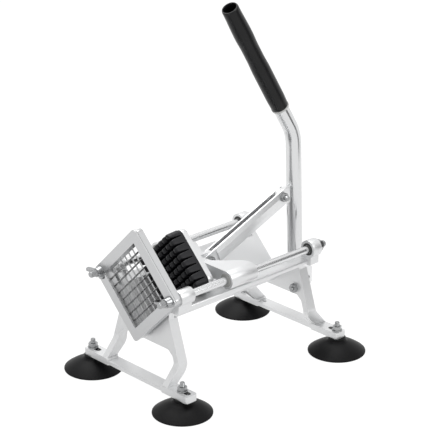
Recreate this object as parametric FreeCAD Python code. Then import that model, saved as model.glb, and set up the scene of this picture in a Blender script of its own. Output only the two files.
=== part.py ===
import FreeCAD, Part
import math
import os
from FreeCAD import Vector

# French fry cutter with a swinging handle: millimetres, X across, Y from the blades (-Y) to the
# handle (+Y), Z up, origin on the table at the middle of the four suction cups.

# Cut and blade sizes
cut_pitch = 9.525
cells = 8
blade_thickness = 0.7
blade_depths = (5.2, 2.4)
blade_seat = 6.0
blade_slot_clearance = 0.15

# Cassette that holds the blades, a square stood on its corner
cassette_past_rods = 11.62489
cassette_plate_thickness = 2.2
cassette_corner = 5.0
cassette_body_inset = 0.8
cassette_body_depth = 9.4
cassette_gap = 0.7
cassette_gap_inset = 3.5
blade_back_margin = 0.3

# Where the working axis and the guide rods run
axis_height = 137.0
rod_spacing = 121.0
rod_radius = 4.75
rod_stud_radius = 4.0
rod_stud_front = 16.0
rod_stud_rear = 15.1
stud_hole_clearance = 0.3
running_clearance = 0.05
loose_clearance = 0.3

# Front and rear frames: one front view, mirrored about the middle of the machine in depth
boss_front = -118.9
leg_face = 114.3
leg_depth = 13.3
web_depth = 8.0
leg_top_outer = 41.3
leg_top_below_arm = 16.1
leg_outer = 57.9
leg_width = 8.7
kink_height = 49.0
kink_inside = 42.0
kink_bend_inside = 18.0
kink_bend = 12.0
arch_front = 64.4
arch_rear = 68.0
arch_corner = 8.0
arm_below_axis = 20.5
arm_outer_front = 63.5
arm_outer_rear = 66.0
boss_radius = 9.5
boss_length = 20.4
lug_radius = 11.0
lug_front = 95.2
lug_length = 13.8

# Cross bars and feet
foot_row = 125.0
bar_half_length = 92.0
bar_depth = 17.2
bar_bottom = 19.0
pad_thickness = 8.5
pad_inner = 46.0
web_recess = 1.5
web_thickness = 4.6
slot_inner = 71.5
slot_outer = 88.6
slot_half_width = 3.4
bar_corner = 3.0
bench_hole_radius = 2.6
bench_hole_x = -42.0

# Suction cups and their studs
cup_radius = 35.85
cup_lip = 1.6
cup_neck_radius = 11.0
cup_hollow = 7.0
cup_neck_height = 3.5
stud_radius = 3.0
stud_top = 39.0
nut_thickness = 5.0
nut_across = 10.0
washer_radius = 6.5
washer_thickness = 1.2
foot_x_front_left = -85.0
foot_x_front_right = 75.5
foot_x_rear_left = -82.5
foot_x_rear_right = 85.0

# V trough and its rails
trough_clearance = 1.0
trough_wall = 4.0
rail_below_axis = 14.0
rail_outer = 62.0
rail_depth_front = 6.5
rail_depth_rear = 4.2

# Pusher
pusher_side = 75.0
pusher_corner = 8.0
peg_side = 7.9
peg_tip_side = 6.6
peg_tip_length = 3.0
peg_front = -79.0
peg_length = 16.0
block_base = 4.0
flange_thickness = 7.0
sleeve_radius = 11.0
bush_radius = 6.8
bush_lip = 0.8
sleeve_front = -41.5
sleeve_length = 42.0
saddle_thickness = 7.0
saddle_rear = -31.0
saddle_waist = 24.0
hub_side = 44.0
screw_radius = 2.0
screw_head_radius = 3.8
screw_head_height = 2.2
screw_spread = 13.0
screw_bite = 3.0

# Linkage: handle pivot, link joint on the handle, link joint on the carriage
pivot_y = 136.5
pivot_z = 75.5
joint_y = 108.0
joint_z = 186.2
slider_y = -15.0
link_gap = 6.0
link_wall = 1.9
link_above = 8.3
link_below = 12.0
link_tip = 9.0
link_head = 12.3
link_body_half = 6.6
link_body_start = 13.0
link_groove = 4.0
link_web = 1.8
link_floor_cut_low = 15.0
link_floor_cut_high = 16.0
pin_radius = 3.0
pin_tail = 9.0
pin_head_radius = 5.5
pin_head_height = 3.0
lug_plate_gap = 0.3
slot_forward = 0.6
slot_back = 3.8
slot_up = 1.9
slot_down = 20.8
slot_wall = 5.0
slot_rear_wall = 3.2

# Handle
tube_radius = 9.7
tube_wall = 1.6
tube_lean = 2.2
bend_height = 263.0
bend_radius = 60.0
grip_lean = 31.4
grip_start = 47.2
grip_length = 161.0
grip_foot_radius = 10.8
grip_full_radius = 11.3
grip_waist_radius = 10.65
grip_tip_radius = 10.3
grip_bore_rim = 8.2
collar_length = 2.6
collar_radius = 11.2
tube_in_grip = 150.0
handle_lug_radius = 8.2
hub_radius = 8.2

# Pivot bracket behind the rear frame
bracket_half = 23.0
bracket_cheek = 5.0
bracket_base = 4.0
bracket_tab = 39.5
bracket_bottom = 66.0
bracket_top = 91.0
bracket_rear = 143.3
bracket_corner = 4.0
bracket_tab_top = 83.0
bracket_bolt_x = 34.5
bracket_bolt_z = 76.0
bracket_bolt_radius = 2.5
bracket_head_radius = 4.6
bracket_head_height = 2.8
pivot_recess = 2.0

# Wing nuts
wing_hub_radius = 7.0
wing_hub_length = 7.5
wing_span = 15.5
wing_rise = 8.5
wing_thickness = 2.6
wing_turn_left = 6.0
wing_turn_right = -9.0

# Sizes worked out from the ones above
rod_x = rod_spacing / 2
cassette_side = (rod_x + cassette_past_rods) * math.sqrt(2)
arm_bottom = axis_height - arm_below_axis
leg_top_height = arm_bottom - leg_top_below_arm
rail_top = axis_height - rail_below_axis
opening_side = cells * cut_pitch
cassette_depth = cassette_plate_thickness + cassette_body_depth
cassette_front = boss_front - cassette_depth
trough_bottom = axis_height - (pusher_side / 2 + trough_clearance) * math.sqrt(2)
rail_inner = rail_top - trough_bottom
rear_web = leg_face - leg_depth
rear_web_back = rear_web + web_depth
trough_start = web_depth - leg_face
flange_front = peg_front + peg_length + block_base
flange_back = flange_front + flange_thickness
bar_top = bar_bottom + pad_thickness
joint = Vector(0, joint_y, joint_z)
slider = Vector(0, slider_y, axis_height)
pivot = Vector(0, pivot_y, pivot_z)
link_vector = joint - slider
link_length = link_vector.Length
link_slope = math.degrees(math.atan2(link_vector.z, link_vector.y))
link_half = link_gap / 2 + link_wall

os.makedirs("parts", exist_ok=True)


def outline(points, plane):
    """Closed face through (a, b, corner radius) points; plane is XY, XZ or YZ."""
    def place(a, b):
        if plane == "XY":
            return Vector(a, b, 0)
        if plane == "XZ":
            return Vector(a, 0, b)
        return Vector(0, a, b)

    count = len(points)
    starts = []
    ends = []
    middles = []
    for i in range(count):
        a, b, radius = points[i]
        here = Vector(a, b, 0)
        before = Vector(*points[i - 1][:2], 0) - here
        after = Vector(*points[(i + 1) % count][:2], 0) - here
        if radius <= 0:
            starts.append(here)
            ends.append(here)
            middles.append(None)
            continue
        before.normalize()
        after.normalize()
        half = before.getAngle(after) / 2
        reach = radius / math.tan(half)
        inward = before + after
        inward.normalize()
        centre = here + inward * (radius / math.sin(half))
        starts.append(here + before * reach)
        ends.append(here + after * reach)
        middles.append(centre - inward * radius)
    edges = []
    for i in range(count):
        following = (i + 1) % count
        if middles[i] is not None:
            edges.append(Part.Arc(place(starts[i].x, starts[i].y), place(middles[i].x, middles[i].y),
                                  place(ends[i].x, ends[i].y)).toShape())
        if (starts[following] - ends[i]).Length > 1e-6:
            edges.append(Part.LineSegment(place(ends[i].x, ends[i].y),
                                          place(starts[following].x, starts[following].y)).toShape())
    return Part.Face(Part.Wire(Part.__sortEdges__(edges)))


def prism(points, plane, start, length):
    """Solid from an outline, pushed along the plane's normal from start by length."""
    normal = {"XY": Vector(0, 0, 1), "XZ": Vector(0, 1, 0), "YZ": Vector(1, 0, 0)}[plane]
    face = outline(points, plane)
    face.translate(normal * start)
    return face.extrude(normal * length)


def rod(radius, start, length, direction):
    return Part.makeCylinder(radius, length, start, direction)


def along_x(radius, x, y, z, length):
    return rod(radius, Vector(x, y, z), length, Vector(1, 0, 0))


def along_y(radius, x, y, z, length):
    return rod(radius, Vector(x, y, z), length, Vector(0, 1, 0))


def along_z(radius, x, y, z, length):
    return rod(radius, Vector(x, y, z), length, Vector(0, 0, 1))


def mirrored(shape):
    return shape.mirror(Vector(0, 0, 0), Vector(1, 0, 0))


def both_sides(shape):
    return shape.fuse(mirrored(shape)).removeSplitter()


def diamond(side, corner, start, length):
    """Square prism stood on its corner about the working axis, running along Y."""
    reach = side / math.sqrt(2)
    points = [(reach, axis_height, corner), (0, axis_height + reach, corner),
              (-reach, axis_height, corner), (0, axis_height - reach, corner)]
    return prism(points, "XZ", start, length)


def tilt(shape):
    """Turn a shape made square to the axis into the diamond's own directions."""
    turned = shape.copy()
    turned.rotate(Vector(0, 0, axis_height), Vector(0, 1, 0), 45)
    return turned


def hexagon(across, start, length, direction, bore):
    """Hexagonal nut or bolt head with its corners rounded off, bored through."""
    corner = across / math.sqrt(3)
    points = [Vector(corner * math.cos(math.radians(60 * i)), corner * math.sin(math.radians(60 * i)), 0)
              for i in range(6)]
    prism_shape = Part.Face(Part.makePolygon(points + points[:1])).extrude(Vector(0, 0, length))
    cone_height = length + corner
    tip = corner * 0.93
    rounding = Part.makeCone(tip + cone_height, tip, cone_height, Vector(0, 0, length - cone_height))
    nut = prism_shape.common(rounding)
    if bore > 0:
        nut = nut.cut(Part.makeCylinder(bore, length * 3, Vector(0, 0, -length)))
    nut.Placement = FreeCAD.Placement(start, FreeCAD.Rotation(Vector(0, 0, 1), direction))
    return nut


def ring(outer, inner, start, length, direction):
    bore = rod(inner, start - direction * length, length * 3, direction)
    return rod(outer, start, length, direction).cut(bore)


def save(name, shape):
    if shape.ShapeType == "Compound" and len(shape.Solids) == 1:
        shape = shape.Solids[0]
    shape.exportStep("parts/" + name + ".step")


def leg_line(height):
    """Outer edge of a leg at a height, above its kink."""
    slope = (leg_outer - leg_top_outer) / (leg_top_height - kink_height - 2)
    return leg_outer - slope * (height - kink_height - 2)


def leg_side():
    """Side view of a front leg: straight down from the rail, then slanting out to its cross bar."""
    back = leg_depth - leg_face
    reach = bar_depth / 2 - 0.8
    return [(-leg_face, rail_top - 2, 0), (back, rail_top - 2, 0), (back, kink_inside, kink_bend_inside),
            (reach - foot_row, bar_top, 3.0), (reach - foot_row, bar_bottom + 1, 0),
            (-reach - foot_row, bar_bottom + 1, 0), (-reach - foot_row, bar_top, 3.0),
            (-leg_face, kink_height, kink_bend)]


def leg_front(width):
    """Front view of the right leg, from the rail down to the cross bar."""
    return [(leg_top_outer, leg_top_height + 2, 0), (leg_outer, kink_height + 2, 12.0),
            (leg_outer, bar_bottom + 1, 0), (leg_outer - leg_width, bar_bottom + 1, 0),
            (leg_outer - leg_width, kink_height + 2, 12.0),
            (leg_top_outer - width, leg_top_height + 2, 0)]


def web_front(arch, arm_outer, bearing_radius):
    """Front view of the right half of a yoke: V seat, arm up to the rod, web down to the arch."""
    arm_in = rod_x - bearing_radius
    inner = leg_outer - leg_width
    return [(0, trough_bottom, 0), (arm_in, trough_bottom + arm_in, 5.0), (arm_in, axis_height, 0),
            (arm_outer, axis_height, 0), (arm_outer, arm_bottom, 2.5),
            (leg_top_outer + 0.4, arm_bottom, 4.0),
            (leg_top_outer, leg_top_height, 8.0), (leg_line(kink_height + 4), kink_height + 4, 0),
            (inner + 0.4, kink_height + 4, 0), (leg_line(arch - 6) - leg_width, arch - 6, 1.0),
            (leg_line(arch) - leg_width - 5, arch, 6.0), (0, arch, 0)]


def cross_bar(bar_y):
    """Cross bar with a thick slotted pad at each end and a thinner web between them."""
    near, far = bar_y - bar_depth / 2, bar_y + bar_depth / 2
    pad = prism([(pad_inner, near, 4.0), (bar_half_length, near, bar_corner),
                 (bar_half_length, far, bar_corner), (pad_inner, far, 4.0)], "XY", bar_bottom, pad_thickness)
    round_end = slot_half_width * 0.99
    slot_near, slot_far = bar_y - slot_half_width, bar_y + slot_half_width
    slot = prism([(slot_inner, slot_near, round_end), (slot_outer, slot_near, round_end),
                  (slot_outer, slot_far, round_end), (slot_inner, slot_far, round_end)],
                 "XY", bar_bottom - 1, pad_thickness + 2)
    web = Part.makeBox(2 * pad_inner + 12, bar_depth, web_thickness,
                       Vector(-pad_inner - 6, near, bar_bottom + web_recess))
    return web.fuse([pad, mirrored(pad)]).cut(Part.makeCompound([slot, mirrored(slot)]))


def frame(arch, arm_outer, web_start, bearing_radius, bearing_start, bearing_length):
    """A frame casting drawn as the front one: web, legs and the two rod bearings, down to its bar."""
    web = prism(web_front(arch, arm_outer, bearing_radius), "XZ", web_start, web_depth)
    leg = prism(leg_front(leg_width), "XZ", -200, 200)
    leg = leg.common(prism(leg_side(), "YZ", 0, bar_half_length))
    bearing = along_y(bearing_radius, rod_x, bearing_start, axis_height, bearing_length)
    arm_in = rod_x - bearing_radius
    skirt = prism([(arm_in, axis_height, 0), (arm_outer, axis_height, 0), (arm_outer, arm_bottom, 2.5),
                   (arm_in, arm_bottom, 0)], "XZ", bearing_start, bearing_length)
    seat = prism([(0, trough_bottom, 0), (2 * rod_x, trough_bottom + 2 * rod_x, 0),
                  (0, trough_bottom + 2 * rod_x, 0)], "XZ", -300, 600)
    half = web.fuse([leg.cut(seat), skirt.cut(seat), bearing])
    return half.fuse(mirrored(half)).cut(cross_bar(-foot_row))


def front_frame():
    shape = frame(arch_front, arm_outer_front, -leg_face, boss_radius, boss_front, boss_length)
    bores = [along_y(rod_radius, side * rod_x, -200, axis_height, 400) for side in (-1, 1)]
    return shape.cut(Part.makeCompound(bores)).removeSplitter()


def rear_frame():
    shape = frame(arch_rear, arm_outer_rear, -rear_web_back, lug_radius, -lug_front - lug_length, lug_length)
    shape = shape.mirror(Vector(0, 0, 0), Vector(0, 1, 0))
    holes = [along_y(rod_stud_radius, side * rod_x, 0, axis_height, 200) for side in (-1, 1)]
    for side in (-1, 1):
        holes.append(along_y(bracket_bolt_radius, side * bracket_bolt_x, rear_web - 1, bracket_bolt_z,
                             web_depth + 2))
    return shape.cut(Part.makeCompound(holes)).removeSplitter()


def rear_bar():
    return cross_bar(foot_row).cut(along_z(bench_hole_radius, bench_hole_x, foot_row, 0, bar_top + 5))


def trough(neighbours):
    """V of two sloping walls, each with a flat rail along its top, cut clear of both frames."""
    drop = trough_wall * math.sqrt(2)
    length = rear_web - trough_start
    rail_under = rail_top - rail_depth_front
    section = [(0, trough_bottom, 0), (rail_inner, rail_top, 0), (rail_outer, rail_top, 1.5),
               (rail_outer, rail_under, 1.5), (rail_inner + 3, rail_under, 4.0),
               (0, trough_bottom - drop, 0)]
    half = prism(section, "XZ", trough_start, length)
    relief = prism([(trough_start - 1, rail_under, 0), (rear_web + 1, rail_top - rail_depth_rear, 0),
                    (rear_web + 1, rail_under - 2, 0), (trough_start - 1, rail_under - 2, 0)],
                   "YZ", rail_inner + 6, rail_outer)
    half = half.cut(relief)
    return both_sides(half).cut(Part.makeCompound(neighbours))


def guide_rod(x):
    front_end = cassette_front - rod_stud_front
    rear_end = lug_front + lug_length + rod_stud_rear
    shank = along_y(rod_radius, x, boss_front, axis_height, lug_front - boss_front)
    front = along_y(rod_stud_radius, x, front_end, axis_height, boss_front - front_end)
    rear = along_y(rod_stud_radius, x, lug_front, axis_height, rear_end - lug_front)
    shape = shank.fuse([front, rear])
    tips = [edge for edge in shape.Edges if edge.Curve.TypeId == "Part::GeomCircle"
            and min(abs(edge.Vertexes[0].Point.y - end) for end in (front_end, rear_end)) < 0.01]
    return shape.makeChamfer(0.8, tips)


def rod_hardware():
    """Washer and nut behind each rear lug."""
    behind = lug_front + lug_length
    washers = [ring(8.0, rod_stud_radius + loose_clearance, Vector(side * rod_x, behind, axis_height), 1.6,
                    Vector(0, 1, 0)) for side in (-1, 1)]
    nuts = [hexagon(13.0, Vector(side * rod_x, behind + 1.6, axis_height), 6.5, Vector(0, 1, 0),
                    rod_stud_radius) for side in (-1, 1)]
    return Part.makeCompound(washers), Part.makeCompound(nuts)


def blade_lines():
    return [(i - (cells - 2) / 2) * cut_pitch for i in range(cells - 1)]


def blade_start(layer):
    front = cassette_front + cassette_plate_thickness + blade_back_margin
    return front + layer * (blade_depths[0] + blade_back_margin)


def blade_strip(offset, layer, extra):
    """One blade, square to the axis; layer 0 stands upright, layer 1 lies flat."""
    reach = opening_side / 2 + blade_seat + extra
    half = blade_thickness / 2 + extra
    front = blade_start(layer) - extra
    back = blade_start(layer) + blade_depths[layer] + extra
    edge = front + 1.2 if extra == 0 else front
    if layer == 0:
        section = [(offset - half, back, 0), (offset + half, back, 0), (offset + half, edge, 0),
                   (offset, front, 0), (offset - half, edge, 0)]
        strip = prism(section, "XY", axis_height - reach, 2 * reach)
    else:
        level = axis_height + offset
        section = [(back, level - half, 0), (back, level + half, 0), (edge, level + half, 0),
                   (front, level, 0), (edge, level - half, 0)]
        strip = prism(section, "YZ", -reach, 2 * reach)
    return tilt(strip)


def blades(layer):
    return Part.makeCompound([blade_strip(offset, layer, 0) for offset in blade_lines()])


def cassette_body():
    start = cassette_front + cassette_plate_thickness
    body = diamond(cassette_side - 2 * cassette_body_inset, cassette_corner, start + cassette_gap,
                   cassette_body_depth - cassette_gap)
    spacer = diamond(cassette_side - 2 * cassette_gap_inset, cassette_corner, start, cassette_gap)
    body = body.fuse(spacer)
    body = body.cut(diamond(opening_side, 0, start - 1, cassette_body_depth + 2))
    slots = [blade_strip(offset, layer, blade_slot_clearance)
             for layer in (0, 1) for offset in blade_lines()]
    holes = [along_y(rod_stud_radius + stud_hole_clearance, side * rod_x, start - 1, axis_height,
                     cassette_body_depth + 2) for side in (-1, 1)]
    return body.cut(Part.makeCompound(slots + holes))


def cassette_plate():
    plate = diamond(cassette_side, cassette_corner, cassette_front, cassette_plate_thickness)
    plate = plate.cut(diamond(opening_side, 0, cassette_front - 1, cassette_plate_thickness + 2))
    holes = [along_y(rod_stud_radius + stud_hole_clearance, side * rod_x, cassette_front - 1, axis_height,
                     cassette_plate_thickness + 2) for side in (-1, 1)]
    return plate.cut(Part.makeCompound(holes))


def wing_nut(x, turn):
    """Wing nut seen from the front: tapered hub and two swept wings."""
    hub = Part.makeCone(wing_hub_radius, wing_hub_radius - 1.6, wing_hub_length,
                        Vector(0, cassette_front, 0), Vector(0, -1, 0))
    tip = cassette_front - wing_hub_length - wing_rise + 4
    wing = prism([(wing_hub_radius - 3, cassette_front - 1.5, 0),
                  (wing_hub_radius + 1, cassette_front - 2.5, 2.0),
                  (wing_span, tip + 6, 2.5), (wing_span - 1, tip, 2.8), (wing_span - 6, tip + 1, 2.5),
                  (wing_hub_radius - 3, cassette_front - wing_hub_length + 0.5, 0)],
                 "XY", -wing_thickness / 2, wing_thickness)
    nut = hub.fuse([wing, mirrored(wing)])
    nut = nut.cut(along_y(rod_stud_radius + running_clearance, 0, cassette_front - 30, 0, 60))
    nut.rotate(Vector(0, 0, 0), Vector(0, 1, 0), turn)
    nut.translate(Vector(x, 0, axis_height))
    return nut


def suction_cup(x, y):
    """Turned rubber cup: thin bell over a hollow, with a stepped neck under the bar."""
    neck_top = bar_bottom
    step = neck_top - cup_neck_height
    profile = [(cup_radius, 0), (cup_radius, cup_lip), (cup_neck_radius, step), (cup_neck_radius, neck_top),
               (stud_radius, neck_top), (stud_radius, cup_hollow + 2.5), (0, cup_hollow + 2.5),
               (0, cup_hollow), (cup_neck_radius, cup_hollow - 1), (cup_radius - 4, 0)]
    points = [Vector(radius, 0, height) for radius, height in profile]
    face = Part.Face(Part.makePolygon(points + points[:1]))
    cup = face.revolve(Vector(0, 0, 0), Vector(0, 0, 1), 360)
    cup.translate(Vector(x, y, 0))
    return cup


feet = {"front_left": (foot_x_front_left, -foot_row), "front_right": (foot_x_front_right, -foot_row),
        "rear_left": (foot_x_rear_left, foot_row), "rear_right": (foot_x_rear_right, foot_row)}


def foot_hardware():
    studs = []
    washers = []
    nuts = []
    for x, y in feet.values():
        base = cup_hollow + 2.5
        studs.append(along_z(stud_radius, x, y, base, stud_top - base))
        washers.append(ring(washer_radius, stud_radius + 0.2, Vector(x, y, bar_top), washer_thickness,
                            Vector(0, 0, 1)))
        nuts.append(hexagon(nut_across, Vector(x, y, bar_top + washer_thickness), nut_thickness,
                            Vector(0, 0, 1), stud_radius))
    return Part.makeCompound(studs), Part.makeCompound(washers), Part.makeCompound(nuts)


def peg(u, v):
    """One square peg with a tapered tip, square to the axis."""
    half = peg_side / 2
    tip = peg_tip_side / 2
    shank_front = peg_front + peg_tip_length
    body = Part.makeBox(peg_side, peg_length - peg_tip_length, peg_side,
                        Vector(u - half, shank_front, axis_height + v - half))
    wires = []
    for y, size in ((shank_front, half), (peg_front, tip)):
        corners = [Vector(u + a * size, y, axis_height + v + b * size)
                   for a, b in ((-1, -1), (1, -1), (1, 1), (-1, 1))]
        wires.append(Part.makePolygon(corners + corners[:1]))
    return body.fuse(Part.makeLoft(wires, True, True))


def pusher_block():
    base_start = peg_front + peg_length
    half_span = (cells - 1) / 2
    lines = [(i - half_span) * cut_pitch for i in range(cells)]
    pegs = [tilt(peg(u, v)) for u in lines for v in lines]
    base = diamond(pusher_side, pusher_corner, base_start, block_base)
    block = base.fuse(pegs)
    block = block.common(diamond(pusher_side, pusher_corner, peg_front - 1, peg_length + block_base + 2))
    pilots = [along_y(screw_radius, x, base_start + block_base - screw_bite, axis_height + z, screw_bite)
              for x, z in screw_places()]
    return block.cut(Part.makeCompound(pilots)).removeSplitter()


def screw_places():
    return [(screw_spread, screw_spread), (-screw_spread, screw_spread),
            (screw_spread, -screw_spread), (-screw_spread, -screw_spread)]


def carriage():
    """Pusher casting: flange, hub, saddle and the two sleeves, with the slotted lug for the link."""
    flange = diamond(pusher_side, pusher_corner, flange_front, flange_thickness)
    hub = diamond(hub_side, 6.0, flange_back, sleeve_front - flange_back + saddle_thickness)
    saddle_top = axis_height + sleeve_radius
    sleeve_back = sleeve_front + sleeve_length
    plan = [(0, sleeve_front, 0), (rod_x, sleeve_front, 0), (rod_x, sleeve_back, 0),
            (rod_x - sleeve_radius + 1, sleeve_back - 3, 6.0), (saddle_waist, saddle_rear, 8.0),
            (0, saddle_rear, 0)]
    saddle = prism(plan, "XY", saddle_top - saddle_thickness, saddle_thickness)
    front_wall = prism([(0, axis_height - 4, 0), (rod_x, axis_height - 4, 0), (rod_x, saddle_top, 0),
                        (0, saddle_top, 0)], "XZ", sleeve_front, 5.0)
    sleeve = along_y(sleeve_radius, rod_x, sleeve_front, axis_height, sleeve_length)
    half = saddle.fuse([sleeve, front_wall])
    half = half.cut(along_y(bush_radius, rod_x, -200, axis_height, 400))
    body = flange.fuse([hub, half, mirrored(half), slotted_lug()])
    holes = [along_y(screw_radius, x, flange_front - 1, axis_height + z, flange_thickness + 2)
             for x, z in screw_places()]
    counter = [along_y(screw_head_radius + 0.4, x, flange_back, axis_height + z, 60)
               for x, z in screw_places()]
    return body.cut(Part.makeCompound(holes + counter)).removeSplitter()


def slotted_lug():
    """Thin lug between the link's cheeks; its slot leaves room for the open end of the linkage."""
    half = link_gap / 2 - lug_plate_gap
    reach = pin_radius + loose_clearance
    low = axis_height - slot_down - reach
    high = axis_height + slot_up + reach
    rear = slider_y + slot_back + reach
    front = slider_y - slot_forward - reach
    plate = prism([(flange_back, low - slot_wall - 2, 0), (rear + slot_rear_wall, low - slot_wall, 6.0),
                   (rear + slot_rear_wall, high + slot_wall, 6.0), (flange_back, high + slot_wall, 0)],
                  "YZ", -half, 2 * half)
    slot = prism([(front, low, reach * 0.99), (rear, low, reach * 0.99), (rear, high, reach * 0.99),
                  (front, high, reach * 0.99)], "YZ", -20, 40)
    return plate.cut(slot)


def bush(x):
    """Bush pressed into a sleeve, with a thin lip at its front end."""
    body = along_y(bush_radius, x, sleeve_front, axis_height, sleeve_length)
    lip = along_y(bush_radius + 1.4, x, sleeve_front - bush_lip, axis_height, bush_lip)
    return body.fuse(lip).cut(along_y(rod_radius + running_clearance, x, -200, axis_height, 400))


def block_screws():
    screws = []
    for x, z in screw_places():
        start = flange_front - screw_bite
        shank = along_y(screw_radius, x, start, axis_height + z, screw_bite + flange_thickness)
        head = along_y(screw_head_radius, x, flange_back, axis_height + z, screw_head_height)
        screws.append(shank.fuse(head))
    return Part.makeCompound(screws)


def in_link(shape):
    """Place a shape made along +Y from the origin onto the line between the two link pins."""
    placed = shape.copy()
    placed.rotate(Vector(0, 0, 0), Vector(1, 0, 0), link_slope)
    placed.translate(slider)
    return placed


def link_channel():
    """Pressed link: flat cheeks at the ends, a bulged body and a sunken web between them."""
    side = [(-link_tip, link_above, 7.0), (link_length + link_head, link_above, 8.0),
            (link_length + link_head, -link_below, 11.0), (-link_tip, -link_below, 8.0)]
    cheeks = prism(side, "YZ", -link_half, 2 * link_half)
    low = link_floor_cut_low
    high = link_length - link_floor_cut_high
    inner_half = link_gap / 2
    gap = Part.makeBox(link_gap, link_length + 60, 60, Vector(-inner_half, -30, -30))
    web = prism([(low, link_above - link_groove, 0), (high, link_above - link_groove, 0),
                 (high - 2, link_above - link_groove - link_web, 0),
                 (low + 2, link_above - link_groove - link_web, 0)], "YZ", -inner_half, link_gap)
    shape = cheeks.cut(gap).fuse(web)
    start = link_body_start
    length = link_length - 7.0 - start
    outer = [(link_half, link_above, 0.8), (link_body_half, link_above - 6, 4.0),
             (link_body_half, -link_below + 6, 5.0),
             (link_half, -link_below, 0.6), (-link_half, -link_below, 0.6),
             (-link_body_half, -link_below + 6, 5.0), (-link_body_half, link_above - 6, 4.0),
             (-link_half, link_above, 0.8)]
    inner = [(inner_half, link_above + 1, 0), (inner_half, link_above - link_groove, 0),
             (-inner_half, link_above - link_groove, 0), (-inner_half, link_above + 1, 0)]
    under_web = link_above - link_groove - link_web
    wall_in = link_body_half - link_wall
    right = [(inner_half, under_web, 0), (wall_in, under_web - 1.5, 1.0), (wall_in, 6.5 - link_below, 2.0),
             (inner_half + 0.3, 0.8 - link_below, 0), (inner_half + 0.3, -link_below - 1, 0)]
    hollow = right + [(-a, b, radius) for a, b, radius in reversed(right)]
    body = prism(outer, "XZ", start, length)
    for section in (inner, hollow):
        body = body.cut(prism(section, "XZ", start - 1, length + 2))
    shape = shape.cut(prism(outer, "XZ", start, length)).fuse(body)
    for edge in (low - 60, high):
        shape = shape.cut(Part.makeBox(link_gap, 60, 60, Vector(-inner_half, edge, -30)))
    for place in (0, link_length):
        shape = shape.cut(along_x(pin_radius, -30, place, 0, 60))
    return in_link(shape.removeSplitter())


def link_pin(place):
    """Bolt through the link's cheeks: round head on the far side, long threaded tail on the near side."""
    shank = along_x(pin_radius, -link_half, place, 0, 2 * link_half + pin_tail)
    head = along_x(pin_head_radius, -link_half - pin_head_height, place, 0, pin_head_height)
    shape = shank.fuse(head)
    return in_link(shape)


def link_nut(place):
    nut = hexagon(nut_across, Vector(link_half, place, 0), nut_thickness, Vector(1, 0, 0), pin_radius)
    return in_link(nut)


def handle_direction(lean):
    angle = math.radians(lean)
    return Vector(0, -math.sin(angle), math.cos(angle))


def handle_points():
    """Foot of the tube, corner of its bend, start of the grip and end of the grip."""
    low = handle_direction(tube_lean)
    high = handle_direction(grip_lean)
    corner = pivot + low * ((bend_height - pivot_z) / low.z)
    start = corner + high * grip_start
    return pivot, corner, start, start + high * grip_length


def tube_solid(radius, past_start):
    """Bent round bar from the pivot to a point inside the grip."""
    foot, corner, start, end = handle_points()
    low = handle_direction(tube_lean)
    high = handle_direction(grip_lean)
    turn = math.radians(grip_lean - tube_lean)
    reach = bend_radius * math.tan(turn / 2)
    bend_in = corner - low * reach
    bend_out = corner + high * reach
    inward = high - low
    inward.normalize()
    middle = corner + inward * (bend_radius / math.cos(turn / 2) - bend_radius)
    path = Part.Wire([Part.LineSegment(foot, bend_in).toShape(),
                      Part.Arc(bend_in, middle, bend_out).toShape(),
                      Part.LineSegment(bend_out, start + high * past_start).toShape()])
    circle = Part.Wire(Part.makeCircle(radius, foot, low))
    return path.makePipeShell([circle], True, False)


def handle_tube():
    outer = tube_solid(tube_radius, tube_in_grip)
    inner = tube_solid(tube_radius - tube_wall, tube_in_grip)
    tube = outer.cut(inner)
    return tube.cut(along_x(hub_radius, -50, pivot_y, pivot_z, 100))


def handle_hub():
    half = bracket_half - bracket_cheek - loose_clearance
    return along_x(hub_radius, -half, pivot_y, pivot_z, 2 * half).cut(
        along_x(pin_radius + running_clearance, -50, pivot_y, pivot_z, 100))


def handle_lug():
    """Plate on the front of the tube that carries the link's upper pin."""
    half = link_gap / 2 - lug_plate_gap
    front = joint_y - handle_lug_radius
    back = joint_y + 24
    plate = prism([(front, joint_z - handle_lug_radius, handle_lug_radius * 0.99),
                   (back, joint_z - handle_lug_radius - 5, 0), (back, joint_z + handle_lug_radius + 3, 0),
                   (front, joint_z + handle_lug_radius, handle_lug_radius * 0.99)], "YZ", -half, 2 * half)
    plate = plate.cut(tube_solid(tube_radius, 10))
    return plate.cut(along_x(pin_radius + running_clearance, -50, joint_y, joint_z, 100))


def grip():
    """Moulded grip: full at both palms, waisted between them, open at the top."""
    corners = [(0, grip_foot_radius), (grip_length * 0.10, grip_full_radius),
               (grip_length * 0.37, grip_full_radius), (grip_length * 0.50, grip_waist_radius),
               (grip_length * 0.60, grip_waist_radius), (grip_length * 0.73, grip_full_radius),
               (grip_length - 1.2, grip_tip_radius), (grip_length, grip_tip_radius - 1.0),
               (grip_length, grip_bore_rim), (tube_in_grip, grip_bore_rim), (tube_in_grip, tube_radius),
               (0, tube_radius)]
    points = [Vector(radius, 0, along) for along, radius in corners]
    face = Part.Face(Part.makePolygon(points + points[:1]))
    return on_handle(face.revolve(Vector(0, 0, 0), Vector(0, 0, 1), 360))


def on_handle(shape):
    """Place a shape made along +Z from the origin at the start of the grip."""
    placed = shape.copy()
    placed.rotate(Vector(0, 0, 0), Vector(1, 0, 0), grip_lean)
    placed.translate(handle_points()[2])
    return placed


def grip_collar():
    collar = Part.makeCylinder(collar_radius, collar_length, Vector(0, 0, -collar_length))
    bore = Part.makeCylinder(tube_radius, collar_length * 3, Vector(0, 0, -2 * collar_length))
    return on_handle(collar.cut(bore))


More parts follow.
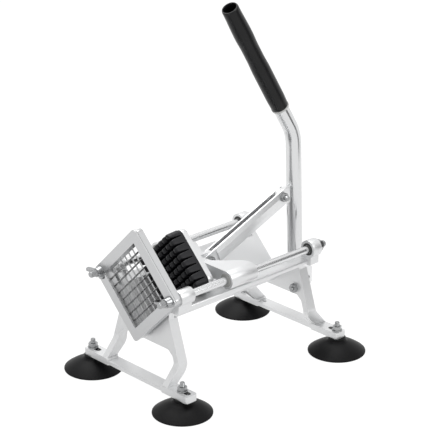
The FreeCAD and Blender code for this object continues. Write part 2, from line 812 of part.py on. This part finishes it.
def pivot_bracket():
    """Forked bracket bolted behind the rear frame, carrying the handle's pivot pin."""
    start = rear_web_back
    base = prism([(-bracket_tab, arch_rear, 4.0), (bracket_tab, arch_rear, 4.0),
                  (bracket_tab, bracket_tab_top, 5.0), (-bracket_tab, bracket_tab_top, 5.0)],
                 "XZ", start, bracket_base)
    cheek = prism([(start, bracket_bottom, 0), (bracket_rear, bracket_bottom, bracket_corner),
                   (bracket_rear, bracket_top, bracket_corner), (start, bracket_top, 3.0)],
                  "YZ", bracket_half - bracket_cheek, bracket_cheek)
    shape = base.fuse([cheek, mirrored(cheek)])
    shape = shape.cut(along_x(pin_radius, -60, pivot_y, pivot_z, 120))
    holes = [along_y(bracket_bolt_radius, side * bracket_bolt_x, start - 1, bracket_bolt_z, bracket_base + 2)
             for side in (-1, 1)]
    return shape.cut(Part.makeCompound(holes)).removeSplitter()


def pivot_pin():
    half = bracket_half - pivot_recess
    return along_x(pin_radius, -half, pivot_y, pivot_z, 2 * half)


def bracket_fasteners():
    """Bolts put in from behind, with their nuts on the front of the web."""
    back = rear_web_back + bracket_base
    bolts = []
    nuts = []
    for side in (-1, 1):
        x = side * bracket_bolt_x
        end = rear_web - nut_thickness - 2.0
        shank = along_y(bracket_bolt_radius, x, end, bracket_bolt_z, back - end)
        head = along_y(bracket_head_radius, x, back, bracket_bolt_z, bracket_head_height)
        bolts.append(shank.fuse(head))
        nuts.append(hexagon(nut_across, Vector(x, rear_web, bracket_bolt_z), nut_thickness,
                            Vector(0, -1, 0), bracket_bolt_radius))
    return Part.makeCompound(bolts), Part.makeCompound(nuts)


frames = [front_frame(), rear_frame()]
save("front_frame", frames[0])
save("rear_frame", frames[1])
save("front_cross_bar", cross_bar(-foot_row).removeSplitter())
save("rear_cross_bar", rear_bar().removeSplitter())
save("trough", trough(frames))
save("guide_rod_left", guide_rod(-rod_x))
save("guide_rod_right", guide_rod(rod_x))
rod_washers, rod_nuts = rod_hardware()
save("rod_washers", rod_washers)
save("rod_nuts", rod_nuts)
save("cassette_frame", cassette_body())
save("cassette_plate", cassette_plate())
save("blades_upper_set", blades(0))
save("blades_lower_set", blades(1))
save("wing_nut_left", wing_nut(-rod_x, wing_turn_left))
save("wing_nut_right", wing_nut(rod_x, wing_turn_right))
for name, (x, y) in feet.items():
    save("suction_cup_" + name, suction_cup(x, y))
foot_studs, foot_washers, foot_nuts = foot_hardware()
save("foot_studs", foot_studs)
save("foot_washers", foot_washers)
save("foot_nuts", foot_nuts)
save("pusher_block", pusher_block())
save("carriage", carriage())
save("sleeve_bush_left", bush(-rod_x))
save("sleeve_bush_right", bush(rod_x))
save("block_screws", block_screws())
save("link_channel", link_channel())
save("link_lower_pin", link_pin(0))
save("link_lower_nut", link_nut(0))
save("link_upper_pin", link_pin(link_length))
save("link_upper_nut", link_nut(link_length))
save("handle_tube", handle_tube())
save("handle_hub", handle_hub())
save("handle_lug", handle_lug())
save("grip", grip())
save("grip_collar", grip_collar())
save("pivot_bracket", pivot_bracket())
save("pivot_pin", pivot_pin())
bracket_bolts, bracket_nuts = bracket_fasteners()
save("bracket_bolts", bracket_bolts)
save("bracket_nuts", bracket_nuts)
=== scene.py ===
import math

import bpy
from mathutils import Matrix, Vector


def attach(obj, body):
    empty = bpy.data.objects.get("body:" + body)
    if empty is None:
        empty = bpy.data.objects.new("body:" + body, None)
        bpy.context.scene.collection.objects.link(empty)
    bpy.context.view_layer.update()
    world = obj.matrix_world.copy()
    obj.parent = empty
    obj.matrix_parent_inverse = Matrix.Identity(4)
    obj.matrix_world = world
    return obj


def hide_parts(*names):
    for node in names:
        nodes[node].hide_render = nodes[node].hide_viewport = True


# French fry cutter: looks only. The modelled parts carry the shape; turned, bent and threaded
# pieces are drawn again here so that they are smooth. Sizes are metres in the part's own frame.

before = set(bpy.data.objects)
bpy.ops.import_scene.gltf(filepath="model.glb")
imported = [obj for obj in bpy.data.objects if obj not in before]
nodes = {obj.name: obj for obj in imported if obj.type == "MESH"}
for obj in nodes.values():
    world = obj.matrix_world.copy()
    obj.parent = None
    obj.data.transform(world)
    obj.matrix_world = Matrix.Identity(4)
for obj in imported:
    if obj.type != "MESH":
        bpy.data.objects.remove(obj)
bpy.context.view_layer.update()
MM = 0.001

# Places shared with the modelled part
AXIS_Z = 0.137
ROD_X = 0.0605
ROD_FRONT = -0.1465
ROD_BACK = 0.1240
ROD_SHOULDER = -0.1189
LUG_FRONT = 0.0952
PIVOT = Vector((0, 0.1365, 0.0755))
TUBE_LEAN = math.radians(2.2)
GRIP_LEAN = math.radians(31.4)
BEND_Z = 0.2630
BEND_RADIUS = 0.060
GRIP_START = 0.0472
GRIP_LENGTH = 0.161
FEET = {"front_left": (-0.085, -0.125), "front_right": (0.0755, -0.125),
        "rear_left": (-0.0825, 0.125), "rear_right": (0.085, 0.125)}
SIDES = (("left", -ROD_X), ("right", ROD_X))
ALONG_RODS = (0, 1, 0)
UPWARD = (0, 0, 1)


# Materials
NOISE_DETAIL = 4
BUMP_HEIGHT = 0.0002


def material(name, colour, metallic, roughness, bump=0.0, grain=400.0, shine=0.5, mottle=0.0):
    made = bpy.data.materials.new(name)
    made.use_nodes = True
    tree = made.node_tree
    shader = tree.nodes["Principled BSDF"]
    shader.inputs["Base Color"].default_value = (*colour, 1)
    shader.inputs["Metallic"].default_value = metallic
    shader.inputs["Roughness"].default_value = roughness
    shader.inputs["Specular IOR Level"].default_value = shine
    if bump or mottle:
        where = tree.nodes.new("ShaderNodeTexCoord")
        noise = tree.nodes.new("ShaderNodeTexNoise")
        noise.inputs["Scale"].default_value = grain
        noise.inputs["Detail"].default_value = NOISE_DETAIL
        tree.links.new(where.outputs["Object"], noise.inputs["Vector"])
        if bump:
            lift = tree.nodes.new("ShaderNodeBump")
            lift.inputs["Strength"].default_value = bump
            lift.inputs["Distance"].default_value = BUMP_HEIGHT
            tree.links.new(noise.outputs["Fac"], lift.inputs["Height"])
            tree.links.new(lift.outputs["Normal"], shader.inputs["Normal"])
        if mottle:
            span = tree.nodes.new("ShaderNodeMapRange")
            span.inputs["To Min"].default_value = roughness - mottle
            span.inputs["To Max"].default_value = roughness + mottle
            tree.links.new(noise.outputs["Fac"], span.inputs["Value"])
            tree.links.new(span.outputs["Result"], shader.inputs["Roughness"])
    return made


def painted_face_light(name, shaded_side_colour, lit_edge_colour, metallic, roughness):
    """Metal painted darker on its flat sides and lighter on the faces that look along the cut,
    chosen by which way each face points: painted shade on the sides and a painted highlight on the
    edges.
    """
    made = material(name, shaded_side_colour, metallic, roughness)
    tree = made.node_tree
    where = tree.nodes.new("ShaderNodeTexCoord")
    split = tree.nodes.new("ShaderNodeSeparateXYZ")
    size = tree.nodes.new("ShaderNodeMath")
    size.operation = "ABSOLUTE"
    painted_light_mix = tree.nodes.new("ShaderNodeMix")
    painted_light_mix.data_type = "RGBA"
    painted_light_mix.inputs["A"].default_value = (*shaded_side_colour, 1)
    painted_light_mix.inputs["B"].default_value = (*lit_edge_colour, 1)
    tree.links.new(where.outputs["Normal"], split.inputs["Vector"])
    tree.links.new(split.outputs["Y"], size.inputs[0])
    tree.links.new(size.outputs[0], painted_light_mix.inputs["Factor"])
    tree.links.new(painted_light_mix.outputs["Result"], tree.nodes["Principled BSDF"].inputs["Base Color"])
    return made


CAST = material("satin cast aluminium", (0.71, 0.715, 0.72), 0.70, 0.36,
                bump=0.05, grain=500, mottle=0.03)
ROD = material("ground steel rod", (0.70, 0.705, 0.71), 1.0, 0.26)
# Painted shade: the near-black colour of the strip that stands for the shadow in the link's groove
GROOVE_SHADE = material("painted groove shade", (0.10, 0.10, 0.102), 1.0, 0.22)
FRAME = material("machined aluminium", (0.55, 0.555, 0.56), 0.85, 0.30)
CHROME = material("polished steel", (0.68, 0.685, 0.69), 0.90, 0.17)
PRESSED = material("bright pressed steel", (0.78, 0.785, 0.79), 0.80, 0.32)
FASTENER = material("plated fastener", (0.36, 0.365, 0.37), 1.0, 0.22)
# Blades: painted shade darkens their flat sides and a painted highlight lightens their cutting
# faces; the rear set has a milder, paler copy of the same painted light
BLADE = painted_face_light("blade steel painted with light and shade", (0.16, 0.162, 0.165), (0.85, 0.85, 0.85), 0.9, 0.26)
REAR_BLADE = painted_face_light("rear blade steel painted with light and shade", (0.42, 0.425, 0.43), (0.60, 0.60, 0.60), 0.9, 0.34)
RUBBER = material("black rubber", (0.006, 0.006, 0.0065), 0.0, 0.42,
                  bump=0.03, grain=600, shine=0.10)
GRIP = material("black grip", (0.007, 0.007, 0.0075), 0.0, 0.30,
                bump=0.03, grain=900, shine=0.22)
PLASTIC = material("black plastic", (0.010, 0.010, 0.012), 0.0, 0.38,
                   bump=0.04, grain=500, shine=0.25)
COLLAR = material("pale nylon", (0.50, 0.50, 0.49), 0.0, 0.35)
BUSH = material("grey nylon", (0.36, 0.36, 0.35), 0.0, 0.40)
# Painted shade: the near-black colour of the shadow lines at the cassette's plate joint and about
# the rods at the rear lugs
SHADOW_LINE = material("painted shadow line", (0.03, 0.03, 0.03), 0.0, 0.60)

# Modelled nodes that stay in view: any other node has the fastener's finish and edge
FINISH = {"front_frame": CAST, "rear_frame": CAST, "front_cross_bar": CAST,
          "rear_cross_bar": CAST, "trough": CAST, "carriage": CAST,
          "cassette_plate": FRAME, "cassette_frame": FRAME,
          "pivot_bracket": PRESSED, "handle_lug": PRESSED, "link_channel": PRESSED,
          "handle_hub": CHROME, "grip_collar": COLLAR,
          "blades_upper_set": BLADE, "blades_lower_set": REAR_BLADE,
          "sleeve_bush_left": BUSH, "sleeve_bush_right": BUSH}

# Rounding of sharp edges in millimetres
SOFT_EDGE = {"front_frame": 0.9, "rear_frame": 0.9, "front_cross_bar": 0.8,
             "rear_cross_bar": 0.8, "trough": 0.7, "carriage": 1.0, "cassette_plate": 0.45,
             "cassette_frame": 0.4, "pivot_bracket": 0.6, "link_channel": 0.35,
             "handle_lug": 0.5}
OTHER_SOFT_EDGE = 0.25
WELD_DISTANCE = 1e-6
BEVEL_SEGMENTS = 3
BEVEL_FROM = math.radians(38)


def paint(obj, finish):
    obj.data.materials.clear()
    obj.data.materials.append(finish)


def soften(obj, width):
    """Welds the modelled mesh and rounds its sharp edges."""
    weld = obj.modifiers.new("weld", "WELD")
    weld.merge_threshold = WELD_DISTANCE
    bevel = obj.modifiers.new("bevel", "BEVEL")
    bevel.width = width * MM
    bevel.segments = BEVEL_SEGMENTS
    bevel.limit_method = "ANGLE"
    bevel.angle_limit = BEVEL_FROM
    bevel.use_clamp_overlap = True
    bevel.harden_normals = True


for name, node in nodes.items():
    paint(node, FINISH.get(name, FASTENER))
    soften(node, SOFT_EDGE.get(name, OTHER_SOFT_EDGE))


# Ways to draw a piece
def mesh_object(name, points, faces, finish, smooth=True):
    mesh = bpy.data.meshes.new(name)
    mesh.from_pydata([tuple(p) for p in points], [], faces)
    mesh.update()
    for polygon in mesh.polygons:
        polygon.use_smooth = smooth
    obj = bpy.data.objects.new(name, mesh)
    bpy.context.scene.collection.objects.link(obj)
    mesh.materials.append(finish)
    return obj


def sharp_by_angle(obj, degrees=35):
    obj.data.set_sharp_from_angle(angle=math.radians(degrees))


def lathe(name, profile, origin, direction, finish, segments=96, ring=False):
    """Turned piece from (radius, distance along the axis) pairs: capped at both ends, or a ring."""
    axis = Vector(direction).normalized()
    side = axis.orthogonal().normalized()
    other = axis.cross(side)
    points = []
    faces = []
    for radius, distance in profile:
        for i in range(segments):
            turned = 2 * math.pi * i / segments
            outward = side * math.cos(turned) + other * math.sin(turned)
            points.append(Vector(origin) + axis * distance + outward * radius)
    for row in range(len(profile) if ring else len(profile) - 1):
        here = row * segments
        there = (row + 1) % len(profile) * segments
        for i in range(segments):
            j = (i + 1) % segments
            faces.append((here + i, here + j, there + j, there + i))
    if not ring:
        last = (len(profile) - 1) * segments
        faces.append(tuple(reversed(range(segments))))
        faces.append(tuple(range(last, last + segments)))
    obj = mesh_object(name, points, faces, finish)
    sharp_by_angle(obj)
    return obj


# Shares of one pitch at which a thread leaves its root and starts and ends its crest
THREAD_ROOT = 0.08
CREST_START = 0.45
CREST_END = 0.62


def thread(radius, start, end, pitch, depth):
    """Profile of ridges between start and end, as (radius, distance) pairs."""
    rows = []
    count = int(abs(end - start) / pitch)
    step = (end - start) / count
    for i in range(count):
        here = start + i * step
        rows.append((radius - depth, here + THREAD_ROOT * step))
        rows.append((radius, here + CREST_START * step))
        rows.append((radius, here + CREST_END * step))
    return rows


def place(obj, body, slot, *stands_for):
    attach(obj, body)
    if stands_for:
        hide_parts(*stands_for)
    return obj


# Guide rods: polished shanks with threaded ends
SHANK_RADIUS = 0.00475
END_RADIUS = 0.0040
TIP_RADIUS = 0.0034
TIP_LENGTH = 0.0006
END_PITCH = 0.00125
END_DEPTH = 0.0005

for side, x in SIDES:
    foot = (x, 0, AXIS_Z)
    shank = [(SHANK_RADIUS, ROD_SHOULDER), (SHANK_RADIUS, LUG_FRONT)]
    piece = lathe("rod_" + side, shank, foot, ALONG_RODS, ROD, segments=64)
    place(piece, "frame", "plated_steel", "guide_rod_" + side)
    nose = [(TIP_RADIUS, ROD_FRONT)]
    nose += thread(END_RADIUS, ROD_FRONT + TIP_LENGTH, ROD_SHOULDER, END_PITCH, END_DEPTH)
    nose.append((END_RADIUS, ROD_SHOULDER))
    tail = [(END_RADIUS, LUG_FRONT)]
    tail += thread(END_RADIUS, LUG_FRONT, ROD_BACK - TIP_LENGTH, END_PITCH, END_DEPTH)
    tail.append((TIP_RADIUS, ROD_BACK))
    for name, profile in (("nose", nose), ("tail", tail)):
        piece = lathe("rod_" + name + "_" + side, profile, foot, ALONG_RODS, FASTENER, segments=48)
        place(piece, "frame", "plated_steel")


# Peg block: eight rows of eight tapered pegs with rounded edges, standing on its plate
PEG_COUNT = 8
PEG_PITCH = 0.009525
PEG_FRONT = -0.0790
PEG_FOOT = -0.0630
BLOCK_BACK = -0.0590
BLOCK_SIDE = 0.0750
BLOCK_CORNER = 0.0080
CORNER_STEPS = 6
OUTER_PEG_CORNER = 0.0065
OUTER_PEG_SHARE = 1.9

# Place along the peg, half of its width and radius of its corners
PEG_STEPS = [(PEG_FOOT + 0.0002, 0.00435, 0.0008), (PEG_FOOT - 0.004, 0.00410, 0.0010),
             (PEG_FRONT + 0.0045, 0.00375, 0.0013), (PEG_FRONT + 0.0018, 0.00340, 0.0016),
             (PEG_FRONT + 0.0005, 0.00285, 0.0016), (PEG_FRONT, 0.00225, 0.0014)]


def rounded_square(low_u, high_u, low_v, high_v, radii, y, points):
    """Adds a ring of points about a square in the block's own slanted directions.

    Returns the numbers of these points.
    """
    corners = [(high_u, high_v, 0), (low_u, high_v, 90), (low_u, low_v, 180), (high_u, low_v, 270)]
    first = len(points)
    half = math.sqrt(0.5)
    for (u, v, begin), radius in zip(corners, radii):
        inward_u = -1 if u == high_u else 1
        inward_v = -1 if v == high_v else 1
        for k in range(CORNER_STEPS + 1):
            angle = math.radians(begin + 90 / CORNER_STEPS * k)
            uu = u + inward_u * radius + radius * math.cos(angle)
            vv = v + inward_v * radius + radius * math.sin(angle)
            points.append(Vector(((uu - vv) * half, y, AXIS_Z + (uu + vv) * half)))
    return list(range(first, len(points)))


def skin(rings, faces):
    """Joins rings of as many points by faces and caps both ends."""
    for low_ring, high_ring in zip(rings, rings[1:]):
        count = len(low_ring)
        for i in range(count):
            j = (i + 1) % count
            faces.append((low_ring[i], low_ring[j], high_ring[j], high_ring[i]))
    faces.append(tuple(reversed(rings[0])))
    faces.append(tuple(rings[-1]))


def peg_block():
    points, faces = [], []
    edge = BLOCK_SIDE / 2
    plate = [rounded_square(-edge, edge, -edge, edge, [BLOCK_CORNER] * 4, y, points)
             for y in (BLOCK_BACK, PEG_FOOT)]
    skin(plate, faces)
    last = PEG_COUNT - 1
    for i in range(PEG_COUNT):
        for j in range(PEG_COUNT):
            u, v = (i - last / 2) * PEG_PITCH, (j - last / 2) * PEG_PITCH
            at_corner = [i == last and j == last, i == 0 and j == last,
                         i == 0 and j == 0, i == last and j == 0]
            rings = []
            for y, half, radius in PEG_STEPS:
                outer = min(half * OUTER_PEG_SHARE, OUTER_PEG_CORNER)
                radii = [outer if corner else radius for corner in at_corner]
                rings.append(rounded_square(u - half, u + half, v - half, v + half,
                                            radii, y, points))
            skin(rings, faces)
    block = mesh_object("peg_block", points, faces, PLASTIC)
    sharp_by_angle(block, 50)
    return block


place(peg_block(), "pusher", "black_plastic", "pusher_block")


# Link: a dark strip on the bottom of the pressed groove, painted shade for the shadow that lies
# there between the bright walls
LINK_FOOT = Vector((0, -0.0150, 0.1370))
LINK_HEAD = Vector((0, 0.1080, 0.1862))
GROOVE_FROM = 0.0155
GROOVE_TO = 0.1160
GROOVE_ABOVE = 0.00436
GROOVE_HALF = 0.0046
GROOVE_DEPTH = 0.0004
GROOVE_SECTION = ((-GROOVE_HALF, 0), (GROOVE_HALF, 0),
                  (GROOVE_HALF, -GROOVE_DEPTH), (-GROOVE_HALF, -GROOVE_DEPTH))


def groove_shade_strip():
    points, faces = [], []
    along = (LINK_HEAD - LINK_FOOT).normalized()
    above = Vector((0, -along.z, along.y))
    rings = []
    for distance in (GROOVE_FROM, GROOVE_TO):
        ring = []
        for x, rise in GROOVE_SECTION:
            ring.append(len(points))
            lift = above * (GROOVE_ABOVE + rise)
            points.append(LINK_FOOT + along * distance + lift + Vector((x, 0, 0)))
        rings.append(ring)
    skin(rings, faces)
    return mesh_object("groove_shade_strip", points, faces, GROOVE_SHADE, smooth=False)


place(groove_shade_strip(), "link", "plated_steel")


# Shadow lines: the joint behind the cassette's front plate, and the recess about each rod in
# its rear lug
PLATE_BACK = -0.1283
BODY_SIDE = 0.1004
BODY_CORNER = 0.0050
SEAM_OUT = 0.0001
SEAM_IN = -0.0004
SEAM_NEAR = 0.0001
SEAM_FAR = 0.0009
SEAM_SECTION = ((SEAM_OUT, SEAM_NEAR), (SEAM_OUT, SEAM_FAR),
                (SEAM_IN, SEAM_FAR), (SEAM_IN, SEAM_NEAR))


def cassette_seam():
    points, faces, rings = [], [], []
    for stand_out, back_off in SEAM_SECTION:
        edge = BODY_SIDE / 2 + stand_out
        rings.append(rounded_square(-edge, edge, -edge, edge, [BODY_CORNER] * 4,
                                    PLATE_BACK + back_off, points))
    for ring, following in zip(rings, rings[1:] + rings[:1]):
        for i in range(len(ring)):
            j = (i + 1) % len(ring)
            faces.append((ring[i], following[i], following[j], ring[j]))
    return mesh_object("cassette_seam", points, faces, SHADOW_LINE)


place(cassette_seam(), "frame", "cast_aluminium")

RECESS_INNER = 0.0050
RECESS_OUTER = 0.0078
RECESS_THICK = 0.0002
RECESS_AHEAD = 0.0003
RECESS_SECTION = [(RECESS_INNER, 0.0), (RECESS_OUTER, 0.0),
                  (RECESS_OUTER, RECESS_THICK), (RECESS_INNER, RECESS_THICK)]

for side, x in SIDES:
    recess = lathe("lug_recess_" + side, RECESS_SECTION, (x, LUG_FRONT - RECESS_AHEAD, AXIS_Z),
                   ALONG_RODS, SHADOW_LINE, segments=48, ring=True)
    place(recess, "frame", "cast_aluminium")


# Suction cups: thin bells with a rolled rim and a stepped neck, as (radius, height) pairs
CUP_RIM = [(0.0340, 0.0000), (0.03580, 0.0002), (0.03585, 0.0006), (0.03580, 0.0013),
           (0.0350, 0.0020)]
BELL_TOP = (0.0145, 0.0133)
BELL_STEPS = 12
BELL_SWELL = 0.0010
CUP_NECK = [(0.0126, 0.0143), (0.0118, 0.0153), (0.0114, 0.0156), (0.0110, 0.0160),
            (0.0110, 0.0190)]


def cup_profile():
    rows = list(CUP_RIM)
    rim = CUP_RIM[-1]
    for i in range(1, BELL_STEPS + 1):
        t = i / BELL_STEPS
        swell = BELL_SWELL * math.sin(math.pi * t)
        rows.append((rim[0] + (BELL_TOP[0] - rim[0]) * t,
                     rim[1] + (BELL_TOP[1] - rim[1]) * t + swell))
    return rows + CUP_NECK


for name, (x, y) in FEET.items():
    piece = lathe("cup_" + name, cup_profile(), (x, y, 0), UPWARD, RUBBER, segments=128)
    place(piece, "frame", "cup_rubber", "suction_cup_" + name)

# Threaded studs above the cross bars: the first stands for the node that holds all four
STUD_RADIUS = 0.0030
STUD_FOOT = 0.0185
STUD_THREAD_FROM = 0.0186
STUD_THREAD_TO = 0.0386
STUD_PITCH = 0.0010
STUD_DEPTH = 0.0004
STUD_TIP = (0.0025, 0.0390)

for name, (x, y) in FEET.items():
    profile = [(STUD_RADIUS, STUD_FOOT)]
    profile += thread(STUD_RADIUS, STUD_THREAD_FROM, STUD_THREAD_TO, STUD_PITCH, STUD_DEPTH)
    profile.append(STUD_TIP)
    piece = lathe("stud_" + name, profile, (x, y, 0), UPWARD, FASTENER, segments=40)
    if name == "front_left":
        place(piece, "frame", "fastener_steel", "foot_studs")
    else:
        place(piece, "frame", "fastener_steel")


# Handle tube: one smooth bent tube, drawn as a swept circle
TUBE_RADIUS = 0.0097
TUBE_IN_GRIP = 0.140
BEND_STEPS = 24


def lean(angle):
    return Vector((0, -math.sin(angle), math.cos(angle)))


low = lean(TUBE_LEAN)
high = lean(GRIP_LEAN)
bend_corner = PIVOT + low * ((BEND_Z - PIVOT.z) / low.z)
grip_foot = bend_corner + high * GRIP_START


def tube_path():
    turn = GRIP_LEAN - TUBE_LEAN
    reach = BEND_RADIUS * math.tan(turn / 2)
    path = [PIVOT.copy()]
    first = bend_corner - low * reach
    centre = first + Vector((0, -low.z, low.y)) * BEND_RADIUS
    for i in range(BEND_STEPS + 1):
        angle = TUBE_LEAN + turn * i / BEND_STEPS
        path.append(centre + Vector((0, math.cos(angle), math.sin(angle))) * BEND_RADIUS)
    path.append(grip_foot + high * TUBE_IN_GRIP)
    return path


def sweep(name, path, radius, finish, segments):
    """Circle carried along a path in the plane of Y and Z, with both ends capped."""
    points = []
    faces = []
    side = Vector((1, 0, 0))
    for i, spot in enumerate(path):
        ahead = path[min(i + 1, len(path) - 1)] - path[max(i - 1, 0)]
        ahead.normalize()
        other = ahead.cross(side)
        for k in range(segments):
            angle = 2 * math.pi * k / segments
            points.append(spot + (side * math.cos(angle) + other * math.sin(angle)) * radius)
    for i in range(len(path) - 1):
        here = i * segments
        there = here + segments
        for k in range(segments):
            j = (k + 1) % segments
            faces.append((here + k, here + j, there + j, there + k))
    last = (len(path) - 1) * segments
    faces.append(tuple(range(segments)))
    faces.append(tuple(reversed(range(last, last + segments))))
    obj = mesh_object(name, points, faces, finish)
    sharp_by_angle(obj)
    return obj


tube = sweep("tube", tube_path(), TUBE_RADIUS, CHROME, segments=72)
place(tube, "handle", "plated_steel", "handle_tube")


# Grip: moulded rubber, full at both palms and waisted between them, with a hollow end.
# Each knot is a share of the grip's length and a radius in millimetres.
GRIP_KNOTS = [(0.00, 10.8), (0.10, 11.3), (0.37, 11.3), (0.50, 10.65), (0.60, 10.65),
              (0.73, 11.3), (0.985, 10.35)]
GRIP_FOOT = [(0.0097, 0.0), (0.0103, 0.0), (0.01075, 0.0004)]
KNOT_STEPS = 8


def grip_profile():
    """Joins the knots by smooth steps and adds the rolled and hollow end."""
    rows = list(GRIP_FOOT)
    for (t0, r0), (t1, r1) in zip(GRIP_KNOTS, GRIP_KNOTS[1:]):
        for i in range(1, KNOT_STEPS + 1):
            part = i / KNOT_STEPS
            ease = part * part * (3 - 2 * part)
            rows.append(((r0 + (r1 - r0) * ease) * MM, (t0 + (t1 - t0) * part) * GRIP_LENGTH))
    end = GRIP_LENGTH
    rows += [(0.0101, end - 0.0009), (0.0096, end), (0.0087, end), (0.0083, end - 0.0006),
             (0.0082, end - 0.0105)]
    return rows


grip = lathe("grip_rubber", grip_profile(), grip_foot, high, GRIP)
place(grip, "handle", "grip_rubber", "grip")


# Studio: white floor, two cards that only reflections see, two soft lights and a white world
def plain(name, grey, strength):
    """Dull surface that may glow white."""
    made = bpy.data.materials.new(name)
    made.use_nodes = True
    shader = made.node_tree.nodes["Principled BSDF"]
    shader.inputs["Base Color"].default_value = (*grey, 1)
    shader.inputs["Roughness"].default_value = 1.0
    shader.inputs["Specular IOR Level"].default_value = 0.0
    shader.inputs["Emission Color"].default_value = (1, 1, 1, 1)
    shader.inputs["Emission Strength"].default_value = strength
    return made


def flat_sheet(name, width, height, finish):
    points = [(-width / 2, -height / 2, 0), (width / 2, -height / 2, 0),
              (width / 2, height / 2, 0), (-width / 2, height / 2, 0)]
    return mesh_object(name, points, [(0, 1, 2, 3)], finish, smooth=False)


def aim(obj, where, target, front):
    """Puts an object at a place with its front, which is Z or -Z, toward the target."""
    obj.rotation_mode = "QUATERNION"
    obj.rotation_quaternion = (Vector(target) - Vector(where)).to_track_quat(front, "Y")
    obj.location = where


def card(name, centre, target, width, height, finish):
    obj = flat_sheet(name, width, height, finish)
    aim(obj, centre, target, "Z")
    obj.visible_camera = False
    obj.visible_shadow = False
    obj.visible_diffuse = False


FLOOR_SIZE = 12
FLOOR_GLOW = 0.96
FLOOR_BELOW = 0.0002
floor_white = plain("floor white", (0.12, 0.12, 0.12), FLOOR_GLOW)
floor = flat_sheet("floor", FLOOR_SIZE, FLOOR_SIZE, floor_white)
floor.location.z = -FLOOR_BELOW

CAMERA = Vector((1.4917, -1.4069, 1.0050))
CAMERA_LENS = 154.94
CAMERA_SENSOR = 36
CAMERA_END = 50
AZIMUTH = math.radians(46.72)
ELEVATION = math.radians(21.67)
back = Vector((math.cos(ELEVATION) * math.sin(AZIMUTH), -math.cos(ELEVATION) * math.cos(AZIMUTH),
               math.sin(ELEVATION)))
right = Vector((math.cos(AZIMUTH), math.sin(AZIMUTH), 0))
flat_back = Vector((math.sin(AZIMUTH), -math.cos(AZIMUTH), 0))

GREY = plain("grey card", (0.11, 0.11, 0.112), 0.0)
SHADE = plain("shaded floor", (0.12, 0.12, 0.12), 0.78)
LOW_CARD_SIDE = 0.34
LOW_CARD_Z = 0.001
RIGHT_CARD_WIDTH = 0.25
RIGHT_CARD_HEIGHT = 0.46
RIGHT_CARD_Z = 0.31
low_card = -right * 0.155 + flat_back * 0.01 + Vector((0, 0, LOW_CARD_Z))
right_card = right * 0.538 - flat_back * 0.011 + Vector((0, 0, RIGHT_CARD_Z))
card("low left", low_card, low_card + Vector((0, 0, 1)), LOW_CARD_SIDE, LOW_CARD_SIDE, SHADE)
card("right", right_card, (0, 0.13, RIGHT_CARD_Z), RIGHT_CARD_WIDTH, RIGHT_CARD_HEIGHT, GREY)


MIDDLE = Vector((0, 0, 0.12))


def soft_light(name, where, side, power):
    """Square lamp aimed at the middle of the part."""
    data = bpy.data.lights.new(name, "AREA")
    data.shape = "RECTANGLE"
    data.size = side
    data.size_y = side
    data.energy = power
    obj = bpy.data.objects.new(name, data)
    aim(obj, where, MIDDLE, "-Z")
    bpy.context.scene.collection.objects.link(obj)


key_place = right * 1.3 + flat_back * 0.7 + Vector((0, 0, 1.1))
soft_light("key", key_place, side=1.0, power=7)
soft_light("top", Vector((-0.5, 0.1, 1.8)), side=1.6, power=26)


# World: white to the camera and in reflections, dimmer as a light on dull surfaces
SEEN_STRENGTH = 1.0
LIGHT_STRENGTH = 0.40
world = bpy.data.worlds.new("studio")
bpy.context.scene.world = world
world.use_nodes = True
tree = world.node_tree
tree.nodes.clear()


def background(strength):
    made = tree.nodes.new("ShaderNodeBackground")
    made.inputs["Color"].default_value = (1, 1, 1, 1)
    made.inputs["Strength"].default_value = strength
    return made.outputs[0]


def larger(first, second):
    made = tree.nodes.new("ShaderNodeMath")
    made.operation = "MAXIMUM"
    tree.links.new(first, made.inputs[0])
    tree.links.new(second, made.inputs[1])
    return made.outputs[0]


rays = tree.nodes.new("ShaderNodeLightPath").outputs
seen = larger(larger(rays["Is Camera Ray"], rays["Is Glossy Ray"]), rays["Is Transmission Ray"])
mix = tree.nodes.new("ShaderNodeMixShader")
output = tree.nodes.new("ShaderNodeOutputWorld")
tree.links.new(seen, mix.inputs[0])
tree.links.new(background(LIGHT_STRENGTH), mix.inputs[1])
tree.links.new(background(SEEN_STRENGTH), mix.inputs[2])
tree.links.new(mix.outputs[0], output.inputs[0])

camera_data = bpy.data.cameras.new("camera")
camera_data.lens = CAMERA_LENS
camera_data.sensor_width = CAMERA_SENSOR
camera_data.clip_end = CAMERA_END
camera = bpy.data.objects.new("camera", camera_data)
camera.rotation_mode = "QUATERNION"
camera.rotation_quaternion = (-back).to_track_quat("-Z", "Y")
camera.location = CAMERA
bpy.context.scene.collection.objects.link(camera)

scene = bpy.context.scene
scene.camera = camera
scene.view_settings.view_transform = "Standard"
scene.view_settings.look = "None"
